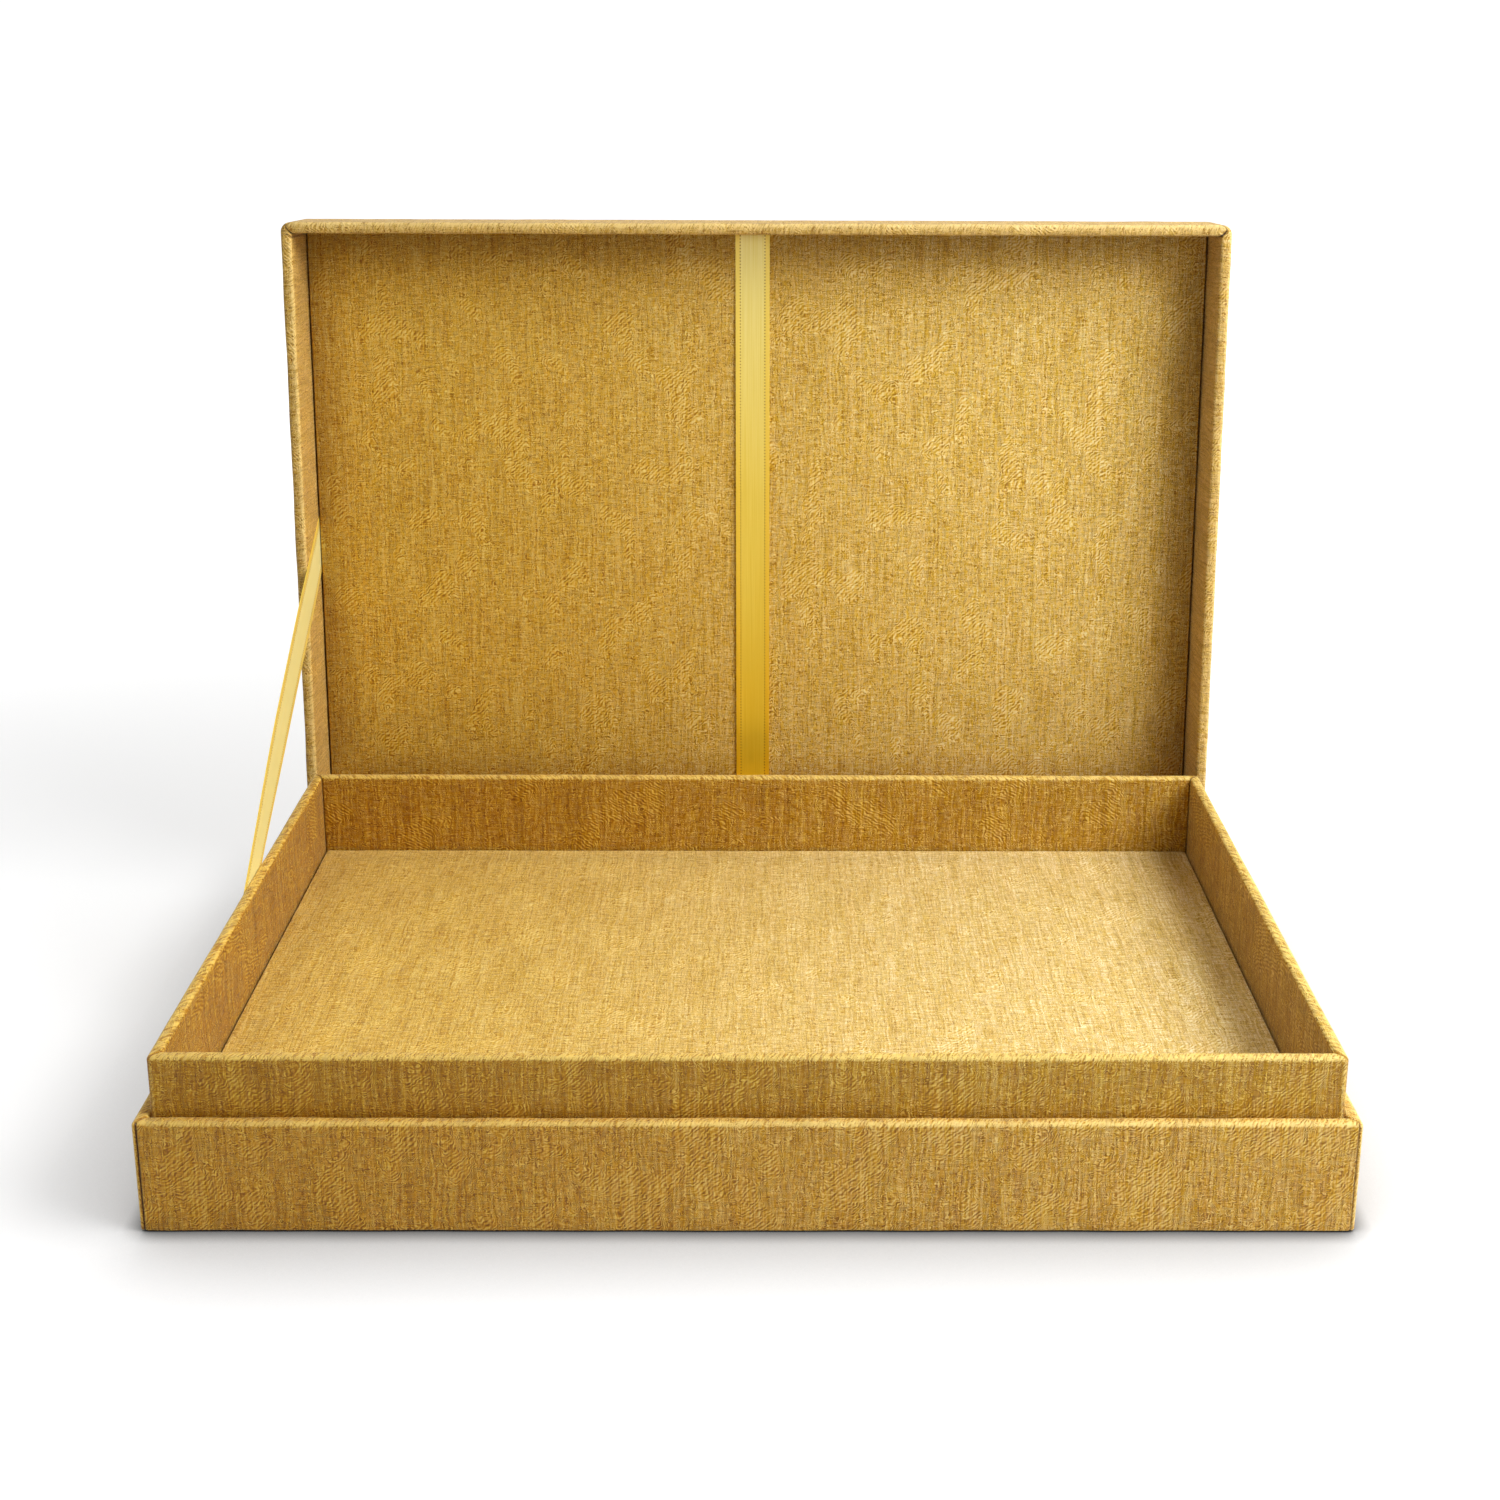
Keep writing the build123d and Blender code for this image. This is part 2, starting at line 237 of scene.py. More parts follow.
def wall_cloth(
    name, path, thick, half_length, corner, ends, side, finish, seed, turn=None, wave=0.09, painted_top_light=0.0,
    coarse=1.0, deep=0.0, edge_wear_and_light=(1.0, 0.65),
):
    """Cloth over one wall. path is its (inset, height) section. ends are its low and high end: how much
    of the corner it takes on the face and on the rim, how far it returns round the end of the wall, how
    deep its seam lies on the face and on the rim, and how deep a second crease runs beside the mitre.
    side is the wall's middle, its run and its inward direction. painted_top_light is how much lighter the
    flat of its rim is painted where it faces up or down, and edge_wear_and_light how much paler its rim's
    outer and inner edges are, as wear and painted highlight. coarse is how much wider its threads are than
    those of the other cuts, and deep how much darker its cloth is away from its rim's bends."""
    places, outs, t = path
    inset, height = places[:, 0], places[:, 1]
    near = np.array([0, 0.07, 0.16, 0.28, 0.45, 0.7, 1.1, 1.8, 3, 5, 8])
    middle = np.linspace(near[-1], 2 * half_length - near[-1], int(half_length / 2.2))[1:-1]
    run = np.concatenate([near, middle, 2 * half_length - near[::-1]]) / (2 * half_length)
    # hair keeps the columns of points apart where they would fall together, and gap the cuts at a mitre.
    hair, gap = 0.003, 0.04
    steps = np.linspace(0, 1, 7)[1:]
    past_steps = steps[:4] / steps[3]
    small = np.maximum(corner - inset, 0)
    stop = half_length - np.maximum(corner, inset) - gap
    u = -stop[:, None] + 2 * stop[:, None] * run
    d = np.repeat(inset[:, None], len(run), 1)
    angle = np.zeros_like(u)
    s = u
    extra = {}
    for label, sign, (face_share, rim_share, reach, face_dip, rim_dip, crease) in (
        ("low", -1, ends[0]), ("high", 1, ends[1])
    ):
        share = np.radians(face_share + (rim_share - face_share) * soft_step(inset / 1.2))
        onward = np.where(reach > 0, np.maximum(0, reach - np.maximum(corner, inset)), 0.0)
        arc = share[:, None] * steps
        bend_u = sign * (stop[:, None] + small[:, None] * np.sin(arc) + hair * np.arange(1, len(steps) + 1))
        bend_d = inset[:, None] + small[:, None] * (1 - np.cos(arc))
        bend_a = np.where(small[:, None] > 0, sign * arc, 0.0)
        bend_s = sign * (stop[:, None] + max(corner, 0.5) * arc)
        past = onward[:, None] * past_steps
        past_u = bend_u[:, -1:] + sign * hair * np.arange(1, len(past_steps) + 1)
        past_d = bend_d[:, -1:] + past
        past_a = np.where(onward[:, None] > 0, sign * math.pi / 2, bend_a[:, -1:]) * np.ones_like(past_steps)
        past_s = bend_s[:, -1:] + sign * past
        left_over = small * share
        on_rim = soft_step(inset / 0.8)
        extra[label] = {
            "u": np.hstack([bend_u, past_u]), "d": np.hstack([bend_d, past_d]),
            "a": np.hstack([bend_a, past_a]), "s": np.hstack([bend_s, past_s]),
            "far": np.hstack([left_over[:, None] * (1 - steps) + onward[:, None], onward[:, None] - past]),
            "straight": (left_over + onward)[:, None] + stop[:, None] - sign * u,
            "dip": face_dip + (rim_dip - face_dip) * on_rim, "crease": crease * on_rim,
        }
    low, high = extra["low"], extra["high"]
    u, d, angle, s = (
        np.hstack([low[key][:, ::-1], between_ends, high[key]])
        for key, between_ends in (("u", u), ("d", d), ("a", angle), ("s", s))
    )
    away = np.full(low["far"].shape, 99.0)
    to_low = np.hstack([low["far"][:, ::-1], low["straight"], away])
    to_high = np.hstack([away, high["straight"], high["far"]])
    middle_of_wall, along, inward = (np.array(v, float) for v in side)
    outward = -inward * np.cos(angle)[..., None] + along * np.sin(angle)[..., None]
    up = np.array([0.0, 0.0, 1.0])
    normal = -outs[:, 0][:, None, None] * outward + outs[:, 1][:, None, None] * up
    normal /= np.linalg.norm(normal, axis=2, keepdims=True)
    place = middle_of_wall + along * u[..., None] + inward * d[..., None] + up * height[:, None, None]
    t = np.repeat(t[:, None], u.shape[1], 1)
    crease_at, seam_reach = 1.15, 0.42
    rise = wave * waves(s, t, seed) * soft_step(np.minimum(to_low, to_high) / 6)
    for gone, end in ((to_low, low), (to_high, high)):
        dip = end["dip"][:, None]
        rise = rise - end["crease"][:, None] * np.exp(-((gone - crease_at) / 0.2) ** 2)
        rise = rise - dip * (1 - soft_step(gone / seam_reach))
        rise = rise + 0.15 * dip * np.exp(-((gone - 0.9) / 0.45) ** 2)
    place = place + normal * rise[..., None]
    # Bends of the rim are painted paler, as wear and as a painted highlight, most where they face up or down.
    on_edge = bent(normal, t[:, 0]) * (0.3 + 0.7 * soft_step(np.abs(normal[..., 2]) / 0.7))
    wear_and_painted_light = np.maximum(on_edge, 0.8 * bent(normal.swapaxes(0, 1), s[len(s) // 2]).T)
    wear_and_painted_light = wear_and_painted_light * (edge_wear_and_light[0] + (edge_wear_and_light[1] - edge_wear_and_light[0]) * soft_step(inset - 1))[:, None]
    # The flat of the rim is painted lighter where it faces up or down: painted light.
    wear_and_painted_light = np.maximum(wear_and_painted_light, painted_top_light * normal[..., 2] ** 2) * (height > 3)[:, None]
    wear_and_painted_light = wear_and_painted_light - deep * (1 - wear_and_painted_light)
    # Seams and the crease beside a mitre are painted dark: painted shade in the gap.
    for gone, end in ((to_low, low), (to_high, high)):
        in_seam = end["dip"][:, None] * np.exp(-(gone / 0.27) ** 2)
        wear_and_painted_light = wear_and_painted_light * (1 - np.exp(-(gone / 0.5) ** 2)) - 3.4 * in_seam
        in_crease = (end["crease"] > 0)[:, None] * np.exp(-((gone - crease_at) / 0.26) ** 2)
        wear_and_painted_light = wear_and_painted_light * (1 - in_crease) - 0.9 * in_crease
    if turn:
        place, normal = turn(place), turn(normal, True)
    return cloth_piece(name, place, normal, thick, s / coarse, t, finish, seed=seed, wear_and_painted_light=wear_and_painted_light)


def between(tree, value, low, high, from_low, from_high, curve="LINEAR"):
    """A value carried over from one range to another, and held inside it."""
    return add(tree, "MapRange", {"interpolation_type": curve}, {
        "Value": value, "From Min": from_low, "From Max": from_high, "To Min": low, "To Max": high,
    }).outputs[0]


def mixed(tree, share, one, other, way="MIX"):
    """A share of another colour mixed into one, or multiplied with it."""
    return add(tree, "Mix", {"data_type": "RGBA", "blend_type": way}, {0: share, 6: one, 7: other}).outputs[2]


def streaks(tree, place, across, along, detail=1.0, turned=0.0, shift=0.0, rough=0.6):
    """Soft noise in streaks as wide across the threads and as long along them as given, in millimetres."""
    laid = add(tree, "Mapping", {"vector_type": "TEXTURE"}, {
        "Vector": place, "Location": (shift, shift * 0.7, 0), "Rotation": (0, 0, math.radians(turned)),
        "Scale": (across, along, 1),
    }).outputs[0]
    return add(tree, "TexNoise", {"noise_dimensions": "2D"}, {
        "Vector": laid, "Scale": 1.0, "Detail": detail, "Roughness": rough,
    }).outputs["Fac"]


def slub_silk(
    name, dark, mid, light, slub=1.0, crepe=1.0, hatch=0.0, crinkle=0.85, lean=42, weft_share=0.5, painted_side_light_share=1.0,
    relief_depth=0.3,
):
    """Woven silk with uneven threads. Faint patches of dye, thin slubs along the warp, finer ones across it,
    crinkled crepe between them that leans into slanting creases in places, and knots. Its colour also has
    painted light: paler towards the right of the box, paler on bends as wear and painted highlight, and
    darker as painted shade in seams, creases and along a panel's edges, and on the cuts given a deeper tone.
    crinkle and relief_depth are in millimetres, lean in degrees, and the others are shares."""
    finish, tree = new_finish(name)
    cloth_place = add(tree, "Attribute", {"attribute_name": "cloth"}).outputs["Vector"]

    def times(one, other):
        return calc(tree, "MULTIPLY", one, other)

    def weigh(total, layers):
        """The total with each layer's swing about its middle added at its own weight."""
        for value, weight in layers:
            total = calc(tree, "MULTIPLY_ADD", calc(tree, "SUBTRACT", value, 0.5), weight, total)
        return total

    wander = add(tree, "TexNoise", {"noise_dimensions": "2D"}, {
        "Vector": cloth_place, "Scale": 0.11, "Detail": 2.0,
    }).outputs["Color"]
    drift = add(tree, "VectorMath", {"operation": "MULTIPLY_ADD"}, {
        0: wander, 1: (1.8, 1.8, 0), 2: cloth_place,
    }).outputs[0]
    bands = streaks(tree, cloth_place, 2.2, 45, shift=31)
    patches = streaks(tree, cloth_place, 13, 16, shift=57)
    slubs = streaks(tree, drift, 0.55, 24, shift=11)
    hairs = streaks(tree, drift, 0.33, 3.2, shift=23)
    weft = streaks(tree, drift, 4.5, 0.38, shift=41)
    ticks = streaks(tree, cloth_place, 0.42, 2.6, detail=0.0, turned=-28, shift=97)

    angle, turn = math.radians(lean), 2 * math.pi / crinkle
    rank = add(tree, "VectorMath", {"operation": "DOT_PRODUCT"}, {
        0: drift, 1: (turn * math.sin(angle), -turn * math.cos(angle), 0),
    }).outputs["Value"]
    curl = between(tree, patches, 46.0, 9.0, 0.56 - 0.1 * hatch, 0.68 - 0.1 * hatch)
    sway = times(streaks(tree, cloth_place, 2.1, 1.7, shift=67), curl)
    crests = calc(tree, "SINE", calc(tree, "ADD", rank, sway))
    strength = between(tree, streaks(tree, cloth_place, 1.1, 1.3, shift=83), 0.1, 0.7, 0.34, 0.62)
    folds = calc(tree, "MULTIPLY_ADD", crests, strength, 0.5)

    # The cloth mark's third number: above 0, paler as wear and painted highlight; below 0, darker as painted
    # shade, and on the cuts given a deeper tone.
    mark = add(tree, "SeparateXYZ", {}, {"Vector": cloth_place}).outputs[2]
    ragged = times(mark, between(tree, ticks, 0.5, 1.5, 0.3, 0.7))
    wear_and_painted_highlight = between(tree, ragged, 0.0, 1.0, 0.15, 0.85)
    painted_shade = between(tree, mark, 0.0, 1.0, 0.0, -1.0)

    cells = add(tree, "Mapping", {"vector_type": "TEXTURE"}, {"Vector": cloth_place, "Scale": (1.6, 2.6, 1)})
    knots = add(tree, "TexVoronoi", {"voronoi_dimensions": "2D"}, {"Vector": cells.outputs[0], "Scale": 1.0})
    chosen = add(tree, "SeparateColor", {}, {"Color": knots.outputs["Color"]})
    small = between(tree, knots.outputs["Distance"], 1.0, 0.0, 0.08, 0.24)
    rare = calc(tree, "GREATER_THAN", chosen.outputs[0], 0.86)
    flecks = times(times(small, rare), between(tree, chosen.outputs[1], -1.0, 0.6, 0.0, 1.0))

    shade = weigh(between(tree, bands, 0.42, 0.58, 0.0, 1.0), [
        (patches, 0.12), (slubs, 0.64 * slub), (hairs, 0.5 * slub), (weft, 1.05 * weft_share),
        (folds, 0.46 * crepe), (ticks, times(wear_and_painted_highlight, 0.8)),
    ])
    # Bends painted lighter: wear and painted highlight.
    shade = calc(tree, "MULTIPLY_ADD", wear_and_painted_highlight, 0.42, shade)
    shade = calc(tree, "MULTIPLY_ADD", flecks, 0.3, shade)
    dyed = add(tree, "HueSaturation", {}, {
        "Hue": between(tree, bands, 0.502, 0.498, 0.3, 0.7),
        "Saturation": between(tree, streaks(tree, cloth_place, 0.6, 7, shift=71), 0.965, 1.035, 0.3, 0.7),
        "Color": ramp(tree, shade, (0.12, dark), (0.5, mid), (0.88, light)),
    }).outputs[0]
    # Painted light: the colour is paler towards the right of the box, and warmer and darker on its left.
    side = add(tree, "SeparateXYZ", {}, {"Vector": add(tree, "TexCoord").outputs["Object"]}).outputs[0]
    rightward = between(tree, side, 0.0, 1.0, -0.1, 0.1, "SMOOTHSTEP")
    painted_side_light = mixed(tree, rightward, (0.95, 0.88, 0.56, 1), (1.09, 1.16, 1.5, 1))
    dyed = mixed(tree, painted_side_light_share, dyed, painted_side_light, "MULTIPLY")
    # Painted shade, and the deeper tone of some cuts.
    dyed = mixed(tree, painted_shade, dyed, (0.13, 0.075, 0.025, 1), "MULTIPLY")
    # Wear and painted highlight on the bends.
    dyed = mixed(tree, times(wear_and_painted_highlight, 0.26), dyed, tone(252, 226, 150))

    height = weigh(times(slubs, 0.45), [
        (hairs, 0.4), (weft, weft_share), (folds, 0.7 * crepe), (ticks, times(wear_and_painted_highlight, 0.6)),
    ])
    relief = add(tree, "Bump", {}, {"Strength": 0.66, "Distance": relief_depth / 1000, "Height": height})
    show(tree, add(tree, "BsdfPrincipled", {}, {
        "Base Color": dyed, "Roughness": 0.55, "Specular IOR Level": 0.3,
        "Sheen Weight": 0.22, "Sheen Roughness": 0.4, "Sheen Tint": tone(255, 242, 214),
        "Normal": relief.outputs["Normal"],
    }))
    return finish


base_silk = slub_silk("base_silk", tone(142, 90, 5), tone(202, 147, 40), tone(234, 198, 102), hatch=1.0)
base_section = rounded_path(
    [
        (turned_under, base_bottom), (0, base_bottom), (0, base_rim), (base_wall, base_rim),
        (base_wall, tray_floor),
    ],
    [0.8, rim_round, rim_round],
)
base_thick = np.where(base_section[0][:, 1] < base_bottom + 0.05, cloth_below, cloth)
base_sides = {
    "front": ((0, -base_half_depth, 0), (1, 0, 0), (0, 1, 0)),
    "left": ((-base_half_width, 0, 0), (0, 1, 0), (1, 0, 0)),
    "right": ((base_half_width, 0, 0), (0, 1, 0), (-1, 0, 0)),
}
base_ends = {
    "front": ((0, 0, 0, 0.34, 0.16, 0), (0, 0, 0, 0.2, 0.12, 0)),
    "left": ((90, 90, 0, 0.34, 0.16, 0), (90, 90, hinge_reach, 0.1, 0.02, 0)),
    "right": ((90, 90, 0, 0.2, 0.12, 0), (90, 90, hinge_reach, 0.1, 0.02, 0)),
}
for seed, (label, side) in enumerate(base_sides.items(), 1):
    long = base_half_width if label == "front" else base_half_depth
    piece = wall_cloth(
        "base_" + label + "_silk", base_section, base_thick, long, corner_round, base_ends[label], side,
        base_silk, seed, painted_top_light=0.3,
    )
    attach(piece, "base")
    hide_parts("base_" + label + "_wrap")


# ---------------------------------------------------------------------------
# Underside sheet: one more cut of the silk glued flat under the bottom, over the turned-in edges of
# the walls' cloth and a little short of the base's outline.
# ---------------------------------------------------------------------------
underside_inset = 2.5
underside_rings = 85


def ring_cloth(
    name, path, thick, half_x, half_y, middle_y, corner, finish, cap, seed, turn=None, wave=0.05, painted_shade=0.0,
):
    """Cloth over a panel: rings of the panel's outline, each at its own inset and height along the path, and
    one flat face inside the last ring or the first, whichever cap names. painted_shade is how much shade is
    painted along a panel's edges where it sits close between walls."""
    places, outs, lengths = path
    turns, spacing = 6, 3
    sides = int(half_y / spacing), int(half_x / spacing)
    rings, normals = [], []
    for (inset, height), out in zip(places, outs):
        round_it = max(corner - inset, 0.04)
        x, y = half_x - inset - round_it, half_y - inset - round_it
        spots, ways = [], []
        centres = [(x, -y), (x, y), (-x, y), (-x, -y)]
        for quarter, centre in enumerate(centres):
            for k in range(turns + 1):
                a = -math.pi / 2 + (quarter + k / turns) * math.pi / 2
                ways.append((math.cos(a), math.sin(a)))
                spots.append((centre[0] + round_it * ways[-1][0], centre[1] + round_it * ways[-1][1]))
            after = centres[(quarter + 1) % 4]
            way = ways[-1]
            start, count = spots[-1], sides[quarter % 2]
            stop = (after[0] + round_it * way[0], after[1] + round_it * way[1])
            for k in range(1, count):
                spots.append([a + (b - a) * k / count for a, b in zip(start, stop)])
                ways.append(way)
        spots, ways = np.array(spots), np.array(ways)
        rings.append(np.column_stack([spots[:, 0], spots[:, 1] + middle_y, np.full(len(spots), height)]))
        normals.append(np.column_stack([-out[0] * ways, np.full(len(ways), out[1])]))
    face, normal = np.array(rings), np.array(normals)
    normal /= np.linalg.norm(normal, axis=2, keepdims=True)
    drop = np.abs(face[..., 2] - face[-1 if cap == "last" else 0, 0, 2])
    s, t = face[..., 0], face[..., 1] - middle_y
    t = t + drop * np.sign(t)
    face = face + normal * (wave * waves(s, t, seed))[..., None]
    # Rolled edges painted paler: wear and painted highlight.
    wear_and_painted_light = 0.7 * bent(normal, lengths) * (1 - soft_step(drop / 0.9))
    # Painted shade along the panel's edges, and its edge down in the gap painted dark.
    if painted_shade:
        past_bend = places[:, 0] - 1.2
        painted_edge_shade = np.exp(-(past_bend / 6.0) ** 2) + 0.42 * np.exp(-(past_bend / 1.8) ** 2)
        wear_and_painted_light = wear_and_painted_light - painted_shade * painted_edge_shade[:, None]
        wear_and_painted_light = wear_and_painted_light + (-1.0 - wear_and_painted_light) * soft_step((drop - 0.12) / 0.35)
    if turn:
        face, normal = turn(face), turn(normal, True)
    return cloth_piece(name, face, normal, thick, s, t, finish, loop=True, cap=cap, seed=seed, wear_and_painted_light=wear_and_painted_light)


underside = rounded_path([(underside_rings, 0), (underside_inset, 0)], [], longest=12)
piece = ring_cloth(
    "base_underside_silk", underside, cloth_below, base_half_width, base_half_depth, 0, corner_round,
    base_silk, "first", 4, wave=0.0,
)
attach(piece, "base")
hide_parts("base_bottom_cloth")


# ---------------------------------------------------------------------------
# Neck cloth: the four walls that stand up inside the base, each covered outside, over its top edge and
# down the inside in the same silk. At the corners the cuts meet without a visible seam, mitred on top.
# ---------------------------------------------------------------------------
neck_half_width = 136.5
neck_half_depth = 87.25
neck_top = 42.9
neck_wall = 3.0
neck_corner_round = 1.1

neck_silk = slub_silk(
    "neck_silk", tone(132, 84, 5), tone(183, 131, 26), tone(228, 193, 90), slub=0.85, crepe=0.85, hatch=0.5,
    weft_share=0.45,
)
neck_section = rounded_path(
    [(0, tray_floor), (0, neck_top), (neck_wall, neck_top), (neck_wall, tray_floor)],
    [rim_round, rim_round],
)
neck_sides = {
    "front": ((0, -neck_half_depth, 0), (1, 0, 0), (0, 1, 0)),
    "back": ((0, neck_half_depth, 0), (1, 0, 0), (0, -1, 0)),
    "left": ((-neck_half_width, 0, 0), (0, 1, 0), (1, 0, 0)),
    "right": ((neck_half_width, 0, 0), (0, 1, 0), (-1, 0, 0)),
}
neck_end = (45, 45, 0, 0.0, 0.13, 0)
neck_coarse = {"front": 1.0, "back": 1.4, "left": 2.2, "right": 2.2}
neck_deep = {"front": 0.0, "back": 0.0, "left": 0.18, "right": 0.18}
for seed, (label, side) in enumerate(neck_sides.items(), 5):
    long = neck_half_width if label in ("front", "back") else neck_half_depth
    piece = wall_cloth(
        "neck_" + label + "_silk", neck_section, cloth, long, neck_corner_round, (neck_end, neck_end), side,
        neck_silk, seed, wave=0.08, painted_top_light=0.55, coarse=neck_coarse[label], deep=neck_deep[label],
    )
    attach(piece, "base")
    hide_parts("neck_" + label + "_wrap")


# ---------------------------------------------------------------------------
# Floor panel: a board covered in the silk, its edges turned in beneath, dropped inside the neck onto the
# riser strips. Loose by a third of a millimetre all round, which shows as a thin dark line, deepened by
# painted shade along its edges.
# ---------------------------------------------------------------------------
floor_half_width = 133.2
floor_half_depth = 83.95
floor_top = 19.0
floor_thick = 2.8
floor_corner_round = 0.9
turn_in = 15.0
panel_rings = 80

floor_cloth = slub_silk(
    "floor_cloth", tone(163, 115, 20), tone(218, 180, 87), tone(244, 226, 164), slub=0.78, crepe=0.8,
    crinkle=1.0, weft_share=0.68, relief_depth=0.24,
)
floor_under = floor_top - floor_thick
floor_section = rounded_path(
    [(turn_in, floor_under), (0, floor_under), (0, floor_top), (panel_rings, floor_top)],
    [0.8, 0.9], longest=6,
)
piece = ring_cloth(
    "floor_silk", floor_section, cloth, floor_half_width, floor_half_depth, 0, floor_corner_round,
    floor_cloth, "last", 9, painted_shade=0.25,
)
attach(piece, "base")
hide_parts("floor_cloth")


# ---------------------------------------------------------------------------
# Lid boards: the two side boards and the top board have their corners sanded round before they are
# covered. Everything of the lid is laid out closed and then swung open about the hinge line.
# ---------------------------------------------------------------------------
hinge_y = 90.55
hinge_z = 28.4
lid_open = math.radians(-93.5)
lid_half_width = 140.0
lid_front = -91.29
lid_back = 90.75
lid_rim = 28.6
lid_board_face = 49.7
lid_board_top = 52.1
lid_corner_round = 2.8
board = 2.4
joint_gap = 0.01


def swing(points, direction=False):
    """Turn closed-lid points, or directions, to where the open lid stands."""
    turned = np.array(points, float)
    y, z = turned[..., 1].copy(), turned[..., 2].copy()
    if not direction:
        y, z = y - hinge_y, z - hinge_z
    c, s = math.cos(lid_open), math.sin(lid_open)
    turned[..., 1], turned[..., 2] = y * c - z * s, y * s + z * c
    if not direction:
        turned[..., 1] += hinge_y
        turned[..., 2] += hinge_z
    return turned


def board_piece(name, outline, low, high):
    """A board cut to a plan outline, between two heights of the closed lid."""
    count = len(outline)
    points = [(x, y, z) for z in (low, high) for x, y in outline]
    faces = [list(range(count))[::-1], list(range(count, 2 * count))]
    faces += [[i, (i + 1) % count, (i + 1) % count + count, i + count] for i in range(count)]
    mesh = bpy.data.meshes.new(name)
    mesh.from_pydata((swing(points) * 0.001).tolist(), [], faces)
    mesh.materials.append(greyboard)
    piece = bpy.data.objects.new(name, mesh)
    bpy.context.scene.collection.objects.link(piece)
    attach(piece, "lid")
    return piece


board_x, board_front, board_back = lid_half_width - cloth, lid_front + cloth, lid_back - cloth
sanding = lid_corner_round - cloth
round_x, round_front, round_back = board_x - sanding, board_front + sanding, board_back - sanding
quarter_turn = np.linspace(0, math.pi / 2, 7)
round_corners = [
    (round_x + sanding * math.sin(a), round_front - sanding * math.cos(a)) for a in quarter_turn
] + [
    (round_x + sanding * math.cos(a), round_back + sanding * math.sin(a)) for a in quarter_turn
]
inner_x = board_x - board - joint_gap
side_outline = [(inner_x, board_back), (inner_x, board_front)] + round_corners
for label, way in (("left", -1), ("right", 1)):
    outline = [(way * x, y) for x, y in side_outline][::way]
    piece = board_piece("lid_" + label + "_card", outline, lid_rim + cloth, lid_board_face)
    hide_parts("lid_" + label + "_board")
top_outline = round_corners + [(-x, y) for x, y in reversed(round_corners)]
piece = board_piece("lid_top_card", top_outline, lid_board_face, lid_board_top)
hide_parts("lid_top_board")


# ---------------------------------------------------------------------------
# Lid wall cloth: three cuts of the silk round the front and sides of the lid, from just under the top's
# edge down over the rim and up the inside to behind the lining panel. The corners are softer than the
# base's, and the left one has a second crease beside its mitre.
# ---------------------------------------------------------------------------
lid_wall = 3.2
lid_top = lid_board_top + cloth
top_edge_round = 1.2
seam_gap = 0.05
lid_seam = lid_top - top_edge_round - seam_gap

lid_silk = slub_silk(
    "lid_silk", tone(146, 96, 14), tone(204, 163, 72), tone(230, 196, 120), hatch=0.6, lean=-42, painted_side_light_share=0.3,
)
lid_section = rounded_path(
    [(lid_wall, lid_board_face), (lid_wall, lid_rim), (0, lid_rim), (0, lid_seam)],
    [rim_round, rim_round],
)
lid_middle = (lid_front + lid_back) / 2
lid_half_depth = (lid_back - lid_front) / 2
lid_sides = {
    "front": ((0, lid_front, 0), (1, 0, 0), (0, 1, 0)),
    "left": ((-lid_half_width, lid_middle, 0), (0, 1, 0), (1, 0, 0)),
    "right": ((lid_half_width, lid_middle, 0), (0, 1, 0), (-1, 0, 0)),
}
lid_ends = {
    "front": ((0, 45, 0, 0.2, 0.2, 0), (0, 45, 0, 0.2, 0.3, 0)),
    "left": ((90, 45, 0, 0.2, 0.2, 0.26), (90, 90, hinge_reach, 0.1, 0.02, 0)),
    "right": ((90, 45, 0, 0.2, 0.3, 0), (90, 90, hinge_reach, 0.1, 0.02, 0)),
}
# How pale the lid rims' outer and inner edges are, set side by side by where the light falls on them: wear
# and painted highlight.
lid_edge_wear_and_light = {"front": (1.0, 0.3), "left": (0.2, 0.9), "right": (0.5, 0.3)}
for seed, (label, side) in enumerate(lid_sides.items(), 10):
    long = lid_half_width if label == "front" else lid_half_depth
    piece = wall_cloth(
        "lid_" + label + "_silk", lid_section, cloth, long, lid_corner_round, lid_ends[label], side,
        lid_silk, seed, turn=swing, edge_wear_and_light=lid_edge_wear_and_light[label],
    )
    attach(piece, "lid")
    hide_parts("lid_" + label + "_wrap")


# ---------------------------------------------------------------------------
# Lid top: one cut of the silk over the top board, rolled over its edges and down to a fine seam just
# below them, where it meets the cloth of the walls.
# ---------------------------------------------------------------------------
lid_top_rings = 85

lid_top_section = rounded_path(
    [(0, lid_top - top_edge_round), (0, lid_top), (lid_top_rings, lid_top)],
    [top_edge_round - seam_gap], longest=6,
)
piece = ring_cloth(
    "lid_top_silk", lid_top_section, cloth, lid_half_width, lid_half_depth, lid_middle, lid_corner_round,
    lid_silk, "last", 13, turn=swing,
)
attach(piece, "lid")
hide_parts("lid_top_cloth")


# ---------------------------------------------------------------------------
# Lining panel: a covered board like the floor, glued inside the lid against the top board.
# Its edges are rounded and stand off the lid's walls, so a dark line runs down both sides, deepened by
# painted shade along its edges.
# ---------------------------------------------------------------------------
lining_half_width = 136.5
lining_front, lining_back = -87.79, 87.25
lining_face = 46.6
lining_thick = 2.8
lining_corner_round = 1.0

